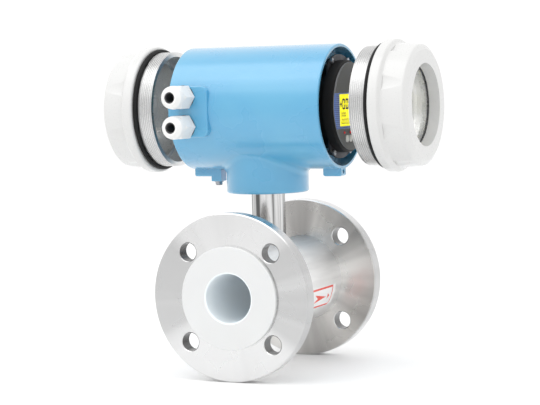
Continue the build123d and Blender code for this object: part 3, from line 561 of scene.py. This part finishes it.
ink = plain_ink("lcd_ink", "121408", "0A0B05")
faint_ink = plain_ink("lcd_faint_ink", "6A6A18", "55550F")
lamp_red, tree, bsdf, where = start("lamp_red", "D81414", 0.12, Transmission_Weight=0.3,
                                    Emission_Strength=0.1, Emission_Color=tone("E01010"))
wire(tree, bsdf, Base_Color=mottle(tree, where, 2 * mm, "C01010", "E42020"))
label_foil = moulded("label_foil", "F8F8F8", "F0F0F0", 0.35, 0.6 * mm, 0.005 * mm)
label_red = moulded("label_red", "EE5340", "E24A38", 0.4, 0.6 * mm, 0.005 * mm)
print("print:", ink.name, faint_ink.name, lamp_red.name, label_foil.name, label_red.name)

# %% [markdown]
# ## Dress the solids
# Every solid of the frame gets one finish, the one that its real piece has. The list is by
# finish, so a change of one finish is made in one place, and anything left out shows in the print.

# %% Give every solid its finish
finishes = {
    turned_steel: ("inlet_flange", "outlet_flange", "right_electrode", "left_electrode"),
    shell_steel: ("coil_shell", "measuring_tube"),
    neck_steel: ("neck_pipe",),
    ptfe: ("ptfe_liner", "right_electrode_bush", "left_electrode_bush"),
    copper: ("upper_coil", "lower_coil"),
    iron: ("upper_pole_shoe", "lower_pole_shoe", "return_yoke", "transformer"),
    zinc: ("electrode_nuts", "neck_nut", "ground_washer", "ground_screw", "cover_lock_screws",
           "bracket_pillars", "bracket_screws", "board_screws"),
    bracket_steel: ("display_bracket",),
    brass: ("board_standoffs", "terminal_screws"),
    label_foil: ("flow_label",),
    blue_paint: ("converter_housing",),
    nylon: ("upper_gland_body", "upper_gland_nut", "lower_gland_body", "lower_gland_nut", "sensor_plug"),
    rubber: ("terminal_cover_oring", "display_cover_oring", "sensor_cable"),
    grey_rubber: ("upper_gland_seal", "lower_gland_seal", "gland_gaskets", "window_gasket"),
    terminal_cover_finish: ("terminal_cover",),
    display_cover_finish: ("display_cover",),
    glass: ("window_glass",),
    aluminium: ("window_ring",),
    # The electronics can is black plastic, and its black also fills the shade inside the case behind the
    # display, so it is partly painted shade.
    black_plastic: ("display_case", "electronics_can", "terminal_block"),
    grey_panel: ("front_panel",),
    bezel_blue: ("display_bezel",),
    lcd_yellow: ("lcd_panel",),
    board_green: ("display_board", "main_board", "power_board", "terminal_board"),
    button_rubber: ("button_1", "button_2", "button_3", "button_4"),
    lamp_red: ("indicator_lamps",),
}
dressed = set()
for material, names in finishes.items():
    for name in names:
        slots = nodes[name].data.materials
        slots.clear()
        slots.append(material)
        dressed.add(name)
print("solids with a finish:", len(dressed), "left over:", sorted(set(nodes) - dressed))

# %% [markdown]
# ## Making meshes
# The print on this meter is thin and flat, so each bar or arrow is a closed slab a few hundredths
# of a millimetre thick, made from its outline. A real mesh was chosen over an image because it
# keeps its edge at any distance. Each piece stands at the origin unturned and rides on a body.


# %% Tools for meshes
def piece(name, points, faces, material, body, slot):
    """A mesh from points and faces that rides on a body."""
    mesh = bpy.data.meshes.new(name)
    mesh.from_pydata(points, [], faces)
    mesh.validate()
    mesh.materials.append(material)
    obj = bpy.data.objects.new(name, mesh)
    bpy.context.scene.collection.objects.link(obj)
    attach(obj, body)
    print(name, "faces", len(mesh.polygons))


def slab(outline, place):
    """A closed slab from a flat outline: place(u, v, top) gives each corner's point."""
    n = len(outline)
    points = [place(u, v, 0) for u, v in outline] + [place(u, v, 1) for u, v in outline]
    faces = [tuple(reversed(range(n))), tuple(range(n, 2 * n))]
    faces += [(i, (i + 1) % n, n + (i + 1) % n, n + i) for i in range(n)]
    return points, faces


def join(parts):
    """Several (points, faces) lists as one."""
    points, faces = [], []
    for some_points, some_faces in parts:
        base = len(points)
        points += some_points
        faces += [tuple(i + base for i in face) for face in some_faces]
    return points, faces


print("meshes before the print:", len(bpy.data.meshes))

# %% [markdown]
# ## Figures on the display
# The screen is a segment display: every figure is built of short bars. The big row is the reading
# and the two small rows under it are totals. Each bar is a thin slab on the screen's face, placed
# from the screen's lower left corner as a reader sees it.

# %% Bars and noughts
ink_thickness = 0.05 * mm


def bar(y_from, y_to, z_from, z_to):
    """A thin bar on the screen's face, between two corners seen from the front."""
    outline = [(y_from, z_from), (y_to, z_from), (y_to, z_to), (y_from, z_to)]
    return slab(outline, lambda y, z, top: (lcd_high.x + top * ink_thickness, y, z))


def nought(y, z, width, height, thick):
    """The six bars of a 0, clockwise from its top, with its lower left corner at y, z."""
    half = height / 2
    gap = thick * 0.25
    spans = [
        (thick, width - thick, height - thick, height),
        (width - thick, width, half + gap, height - gap),
        (width - thick, width, gap, half - gap),
        (thick, width - thick, 0, thick),
        (0, thick, gap, half - gap),
        (0, thick, half + gap, height - gap),
    ]
    return [bar(y + y_from, y + y_to, z + z_from, z + z_to) for y_from, y_to, z_from, z_to in spans]


print("ink stands", round(ink_thickness / mm, 2), "mm proud of the screen")


# %% Rows of noughts and a plus sign
def row(text, y, z, width, height, thick, pitch):
    """A row of noughts, with dots between them where the text has a dot."""
    bars = []
    for character in text:
        if character == ".":
            space = pitch - width
            bars.append(bar(y - space * 0.75, y - space * 0.25, z, z + thick))
        else:
            bars += nought(y, z, width, height, thick)
            y += pitch
    return bars


def plus(y, z, width, thick, post):
    """A plus sign about its middle: one level bar, and a short upright one above and below."""
    half, half_thick, half_post = width / 2, thick / 2, post / 2
    return [bar(y - half, y + half, z - half_thick, z + half_thick),
            bar(y - half_post, y + half_post, z + half_thick, z + half),
            bar(y - half_post, y + half_post, z - half, z - half_thick)]


left, foot = lcd_low.y, lcd_low.z
print("the screen is", round((lcd_high.y - left) / mm, 1), "by", round((lcd_high.z - foot) / mm, 1), "mm")

# %% [markdown]
# ### Reading and totals
# The meter stands without flow, so the big row reads nought with its sign, and the two rows of
# small figures below it are empty counters. Their ink is paler, as thin segments look on a
# backlit screen.

# %% Reading and totals
big = row("000.000", left + 8 * mm, foot + 16 * mm,
          width=6.8 * mm, height=11 * mm, thick=2.0 * mm, pitch=8.6 * mm)
big += plus(left + 4.6 * mm, foot + 21.5 * mm, width=5.8 * mm, thick=1.4 * mm, post=2.0 * mm)
small = row("0000", left + 5 * mm, foot + 9.2 * mm,
            width=2.2 * mm, height=4.2 * mm, thick=0.7 * mm, pitch=3.2 * mm)
small += row("0.0000", left + 5 * mm, foot + 2 * mm,
             width=3.2 * mm, height=5.2 * mm, thick=0.7 * mm, pitch=4.8 * mm)
piece("display_reading", *join(big), ink, "meter", "lcd")
piece("display_totals", *join(small), faint_ink, "meter", "lcd")
print("bars:", len(big), "and", len(small))

# %% [markdown]
# ## Flow label
# A printed foil on the shell: white, with a thin red outline and a red arrow towards the outlet.
# Flat print would cut through the round shell, so it is laid on the cylinder by turning its
# height on the label into an angle, and its tall bars are divided so that they follow the curve.


# %% Laying print on the shell
label_radius = math.hypot(label_high.x, label_high.z)
label_top = math.asin(label_high.z / label_radius)
label_bottom = math.asin(label_low.z / label_radius)
label_middle = (label_top + label_bottom) / 2
print_lift = 0.04 * mm
print_thickness = 0.03 * mm
longest_step = 2 * mm


def on_shell(along, up, top):
    """A point on the label: along the pipe, and up round the shell from the label's middle."""
    radius = label_radius + print_lift + top * print_thickness
    angle = label_middle + up / label_radius
    return (radius * math.cos(angle), along, radius * math.sin(angle))


def strip(y_from, y_to, up_from, up_to):
    """A patch of print, divided round the shell so that it follows the curve."""
    steps = max(1, math.ceil(abs(up_to - up_from) / longest_step))
    edge = [up_from + (up_to - up_from) * i / steps for i in range(steps + 1)]
    parts = []
    for low, high in zip(edge, edge[1:]):
        parts.append(slab([(y_from, low), (y_to, low), (y_to, high), (y_from, high)], on_shell))
    return parts


def pointer(tip, length, half, notch):
    """An arrowhead with its tip at a height along the pipe, and its back cut in by a notch."""
    back = tip - length
    return [slab([(tip, 0), (back, half), (back + notch, 0)], on_shell),
            slab([(tip, 0), (back + notch, 0), (back, -half)], on_shell)]


print("label from", round(math.degrees(label_bottom), 1), "to", round(math.degrees(label_top), 1), "degrees")

# %% [markdown]
# ### Outline and arrow
# The outline is four strips, with one corner at the outlet's end cut off. The arrow is a long
# barbed point with a small one ahead of it, and says which way the liquid has to run.

# %% Outline and arrow of the label
lower_margin, upper_margin, side_margin = 1.5 * mm, 7.0 * mm, 0.4 * mm
frame_low, frame_high = label_low.y + lower_margin, label_high.y - upper_margin
half_up = label_radius * (label_top - label_bottom) / 2 - side_margin
line = 1.5 * mm
top_line = 2.0 * mm
corner = 3.0 * mm
prints = strip(frame_low, frame_high, half_up - top_line, half_up)
prints += strip(frame_low, frame_high - corner, -half_up, -half_up + top_line)
prints += strip(frame_low, frame_low + line, -half_up + line, half_up - top_line)
prints += strip(frame_high - line, frame_high, -half_up + corner, half_up - top_line)
prints.append(slab([
    (frame_high - corner - line / 2, -half_up),
    (frame_high, -half_up + corner),
    (frame_high - line, -half_up + corner),
    (frame_high - corner - line / 2, -half_up + line),
], on_shell))
prints += pointer(frame_high - 6.5 * mm, length=5.2 * mm, half=3.4 * mm, notch=0.6 * mm)
prints += pointer(frame_high - 15.5 * mm, length=30 * mm, half=4.8 * mm, notch=9 * mm)
piece("flow_label_print", *join(prints), label_red, "meter", "label_foil")
print("label print:", len(prints), "patches")

# %% [markdown]
# ## Sections that follow a path
# A thread and a weld bead are both one section that follows a path. They could be lofted by hand,
# but Geometry Nodes do it from a curve and two sizes: one tree for a plain sweep, and one whose
# section swells and starts again with each ripple of a weld.


# %% Node trees that sweep a section along a path
def ripples(group, given):
    """The path and the scale of its section, which swells over each ripple and starts again."""
    length = add(group, "GeometryNodeSplineParameter").node.outputs["Length"]
    turns = add(group, "ShaderNodeMath", {"operation": "DIVIDE"}, {0: length, 1: given["Ripple length"]})
    part = add(group, "ShaderNodeMath", {"operation": "FRACT"}, {0: turns})
    wave = add(group, "ShaderNodeMath", {"operation": "MULTIPLY_ADD"}, {0: part, 1: given["Ripple"]}, i2=1.0)
    path = add(group, "GeometryNodeSetCurveRadius", links={"Curve": given["Curve"], "Radius": wave})
    return path, wave


def sweep_tree(name, rippled):
    """Curve in, mesh out: a round section along the curve, with ripples if wanted."""
    group = bpy.data.node_groups.new(name, "GeometryNodeTree")
    identifiers = {}
    for label, kind in (("Curve", "Geometry"), ("Radius", "Float"), ("Sides", "Int"),
                        ("Ripple", "Float"), ("Ripple length", "Float"), ("Material", "Material")):
        identifiers[label] = group.interface.new_socket(
            label, in_out="INPUT", socket_type="NodeSocket" + kind).identifier
    group.interface.new_socket("Mesh", in_out="OUTPUT", socket_type="NodeSocketGeometry")
    given = group.nodes.new("NodeGroupInput").outputs
    section = add(group, "GeometryNodeCurvePrimitiveCircle",
                  links={"Resolution": given["Sides"], "Radius": given["Radius"]})
    joined = {"Curve": given["Curve"], "Profile Curve": section}
    if rippled:
        joined["Curve"], joined["Scale"] = ripples(group, given)
    body = add(group, "GeometryNodeCurveToMesh", links=joined, Fill_Caps=True)
    real = add(group, "GeometryNodeRealizeInstances", links={"Geometry": body})
    painted = add(group, "GeometryNodeSetMaterial", links={"Geometry": real, "Material": given["Material"]})
    group.links.new(painted, group.nodes.new("NodeGroupOutput").inputs[0])
    return group, identifiers


plain_sweep = sweep_tree("sweep", False)
weld_sweep = sweep_tree("weld_bead", True)
print("trees:", plain_sweep[0].name, weld_sweep[0].name)

# %% [markdown]
# ### From a path to a mesh
# The path is a curve of straight pieces, and the tree's inputs are set by their identifiers
# before it is first evaluated. The swept result is copied into a plain mesh and the curve is
# thrown away, because the export keeps meshes only.


# %% Sweeping a path into a plain mesh
def swept(name, points, closed, radius, sides, material, body, ripple=None):
    """A round section swept along points and kept as a plain mesh; ripple is (depth, length)."""
    curve = bpy.data.curves.new(name + "_path", "CURVE")
    curve.dimensions = "3D"
    spline = curve.splines.new("POLY")
    spline.points.add(len(points) - 1)
    spline.points.foreach_set("co", [v for p in points for v in (*p, 1.0)])
    spline.use_cyclic_u = closed
    path = bpy.data.objects.new(name + "_path", curve)
    bpy.context.scene.collection.objects.link(path)
    group, identifiers = weld_sweep if ripple else plain_sweep
    given = {"Radius": radius, "Sides": sides, "Material": material}
    if ripple:
        given["Ripple"], given["Ripple length"] = ripple
    modifier = path.modifiers.new("sweep", "NODES")
    modifier.node_group = group
    for label, value in given.items():
        modifier[identifiers[label]] = value
    bpy.context.view_layer.update()
    graph = bpy.context.evaluated_depsgraph_get()
    mesh = bpy.data.meshes.new_from_object(path.evaluated_get(graph), depsgraph=graph)
    bpy.data.objects.remove(path)
    mesh.name = name
    if not mesh.materials:
        mesh.materials.append(material)
    mesh.polygons.foreach_set("use_smooth", [True] * len(mesh.polygons))
    obj = bpy.data.objects.new(name, mesh)
    bpy.context.scene.collection.objects.link(obj)
    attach(obj, body)
    print(name, "faces", len(mesh.polygons))


print("node groups:", len(bpy.data.node_groups))

# %% [markdown]
# ### Cover threads
# Both covers screw in on a fine thread of 2 mm pitch, cut on the spigot between its mouth and the
# O-ring. A rounded crest on a helix is enough to catch the light line by line as the real one
# does, and its root is the spigot itself.


# %% Threads on the two spigots
def helix(x_from, x_to, radius, pitch, steps_per_turn=72):
    """Points of a thread about the converter's axis."""
    turns = abs(x_to - x_from) / pitch
    steps = round(turns * steps_per_turn)
    points = []
    for i in range(steps + 1):
        angle = 2 * math.pi * turns * i / steps
        x = x_from + (x_to - x_from) * i / steps
        points.append((x, radius * math.cos(angle), axis_z + radius * math.sin(angle)))
    return points


thread_pitch = 2 * mm
crest = 0.4 * mm
thread_radius = 58.5 * mm
sunk = 0.15 * mm
from_mouth = 1.5 * mm
from_seat = 1.2 * mm
path_radius = thread_radius - sunk
right_thread = helix(cover_low.x + from_mouth, ring_low.x - from_seat, path_radius, thread_pitch)
left_thread = helix(left_cover_high.x - from_mouth, left_ring_high.x + from_seat, path_radius, thread_pitch)
crest_sides = 6
swept("display_cover_thread", right_thread, False, crest, crest_sides, aluminium,
      "display_cover")
swept("terminal_cover_thread", left_thread, False, crest, crest_sides, aluminium,
      "terminal_cover")
print("points of the threads:", len(right_thread), "and", len(left_thread))

# %% [markdown]
# ### Weld bead
# The neck pipe is TIG welded to the shell all round. The welder dips the rod every millimetre or
# two, so the bead is a row of small overlapping ripples. It is left a shade darker than the tubes.


# %% Weld bead round the neck
def saddle(radius, over, count=200):
    """Where the neck meets the shell: a circle seen from above, draped over the cylinder."""
    points = []
    for i in range(count):
        turn = 2 * math.pi * i / count
        x, y = radius * math.cos(turn), radius * math.sin(turn)
        points.append((x, y, math.sqrt(over ** 2 - x ** 2)))
    return points


bead_radius = 1.2 * mm
bead_sides = 8
ripple_depth = 0.15
ripple_length = 1.6 * mm
bead_path = saddle(neck_radius + 0.4 * mm, shell_radius + 0.2 * mm)
bead, tree, bsdf, where = satin_steel("weld_bead_steel", "CFCFCF", 0.3, "Z")
tool_lines(tree, bsdf, from_axis(tree, where, (1, 0, 1)), belt_pitch)
streaks(tree, bsdf, where, "B4B4B4", "CFCFCF")
swept("neck_weld", bead_path, True, bead_radius, bead_sides, bead, "meter",
      ripple=(ripple_depth, ripple_length))
print("ripples of", round(ripple_length / mm, 1), "mm")

# %% [markdown]
# ## Floor
# The photograph is a studio picture on white, so the floor is one plain pale sheet under the
# flanges.

# %% Floor
floor_z = -flange_radius
floor_material, tree, bsdf, where = start("floor", "FCFCFC", 0.6)
wire(tree, bsdf, Base_Color=mottle(tree, where, 400 * mm, "FBFBFB", "FEFEFE"))
reach = 20.0
floor_mesh = bpy.data.meshes.new("floor")
floor_mesh.from_pydata([(-reach, -reach, floor_z), (reach, -reach, floor_z), (reach, reach, floor_z),
                        (-reach, reach, floor_z)], [], [(0, 1, 2, 3)])
floor_mesh.materials.append(floor_material)
floor = bpy.data.objects.new("floor", floor_mesh)
bpy.context.scene.collection.objects.link(floor)
print("floor at", round(floor_z / mm, 2), "mm")

# %% [markdown]
# ## Light
# Polished steel only shows what it reflects, so the lights are large and soft: a long one
# overhead, a weaker one to the left, and one behind for the edges. The room is pale all round,
# which keeps the shadows as light as those of the photograph.


# %% Lights
def soft_light(name, place, target, width, height, power):
    """A white rectangular light of that many watts, turned towards a target."""
    data = bpy.data.lights.new(name, "AREA")
    data.shape = "RECTANGLE"
    data.size = width
    data.size_y = height
    data.energy = power
    obj = bpy.data.objects.new(name, data)
    obj.location = place
    direction = Vector(target) - Vector(place)
    obj.rotation_euler = direction.to_track_quat("-Z", "Y").to_euler()
    bpy.context.scene.collection.objects.link(obj)


middle = (0.0, 0.0, 0.08)
soft_light("top", (0.0, -0.35, 1.2), middle, width=1.6, height=0.7, power=4.8)
soft_light("key", (-0.5, -1.0, 1.1), middle, width=0.7, height=0.7, power=1.5)
soft_light("rim", (-1.0, 0.6, 0.6), middle, width=0.4, height=0.9, power=1.0)

world = bpy.data.worlds.new("room")
world.use_nodes = True
room = world.node_tree.nodes["Background"].inputs
room["Color"].default_value = tone("FAFAFA")
room["Strength"].default_value = 1.1
bpy.context.scene.world = world
bpy.context.scene.view_settings.view_transform = "Standard"
print("lights:", len(bpy.data.lights), "and a room of strength", round(room["Strength"].default_value, 2))

# %% [markdown]
# ## Camera
# The rims of both flanges and of the covers are circles of known size and place, so they fix the
# camera: the fit of their outlines gives its place, its turn and its lens. The lens is kept as
# its focal length in pixels of a picture 540 pixels wide.

# %% Camera
yaw = math.radians(24.64)
pitch = math.radians(4.19)
roll = math.radians(-1.6)
place = (0.7587, -1.6504, 0.2185)
focal_pixels = 1798.65
picture_width = 540
sensor_width = 36.0
forward = Vector((-math.sin(yaw) * math.cos(pitch), math.cos(yaw) * math.cos(pitch), -math.sin(pitch)))
side = forward.cross(Vector((0, 0, 1))).normalized()
up = side.cross(forward)
turned_side = side * math.cos(roll) + up * math.sin(roll)
turned_up = up * math.cos(roll) - side * math.sin(roll)
lens = bpy.data.cameras.new("camera")
lens.sensor_width = sensor_width
lens.lens = focal_pixels / picture_width * sensor_width
lens.clip_end = 50.0
camera = bpy.data.objects.new("camera", lens)
camera.matrix_world = Matrix((
    (turned_side.x, turned_up.x, -forward.x, place[0]),
    (turned_side.y, turned_up.y, -forward.y, place[1]),
    (turned_side.z, turned_up.z, -forward.z, place[2]),
    (0, 0, 0, 1)))
bpy.context.scene.collection.objects.link(camera)
bpy.context.scene.camera = camera
print("lens", round(lens.lens, 1), "mm")
